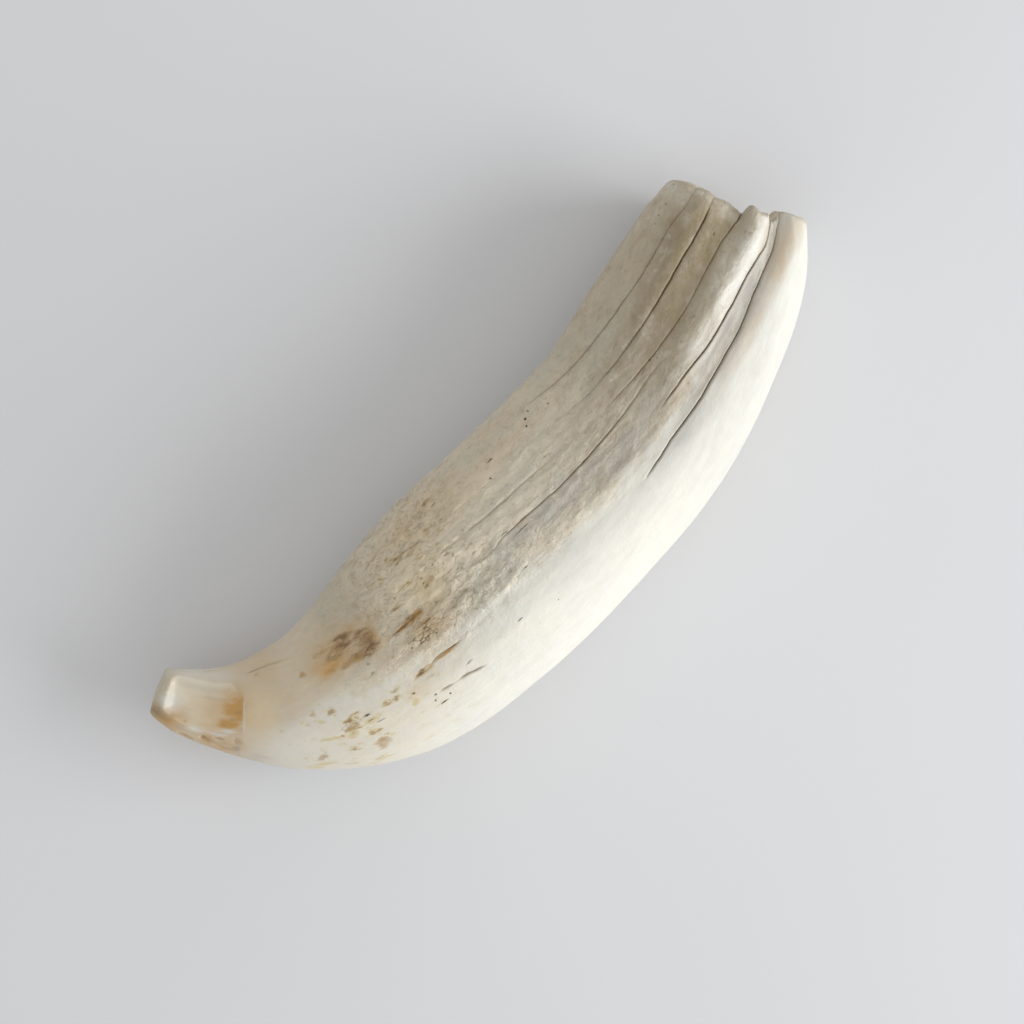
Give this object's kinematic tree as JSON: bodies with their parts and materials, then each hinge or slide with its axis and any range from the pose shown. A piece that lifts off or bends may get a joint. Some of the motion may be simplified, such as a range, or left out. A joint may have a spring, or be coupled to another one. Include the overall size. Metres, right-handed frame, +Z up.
{
  "type": "sperm whale tooth",
  "caption": "Sperm whale tooth of old cream ivory, lying on its side: bowed, worn and flaked at the tip, folded and cracked at the hollow root.",
  "frame": {"origin": "centre of the bounding box's bottom face, on the surface that the tooth lies on", "axes": "+X along the tooth's chord from the worn tip to the open root, -Y towards the outer side of the bow, +Z up"},
  "size_m": [0.1812, 0.067, 0.0403],
  "materials": {
    "ivory": "old dry tooth ivory: chalk white on the outer side, beige and faintly brown-stained on the inner side, smooth with a soft sheen, polished at the worn tip, with dark lengthwise drying cracks at the root"
  },
  "bodies": {
    "root": {"tooth": "ivory"}
  },
  "joints": []
}
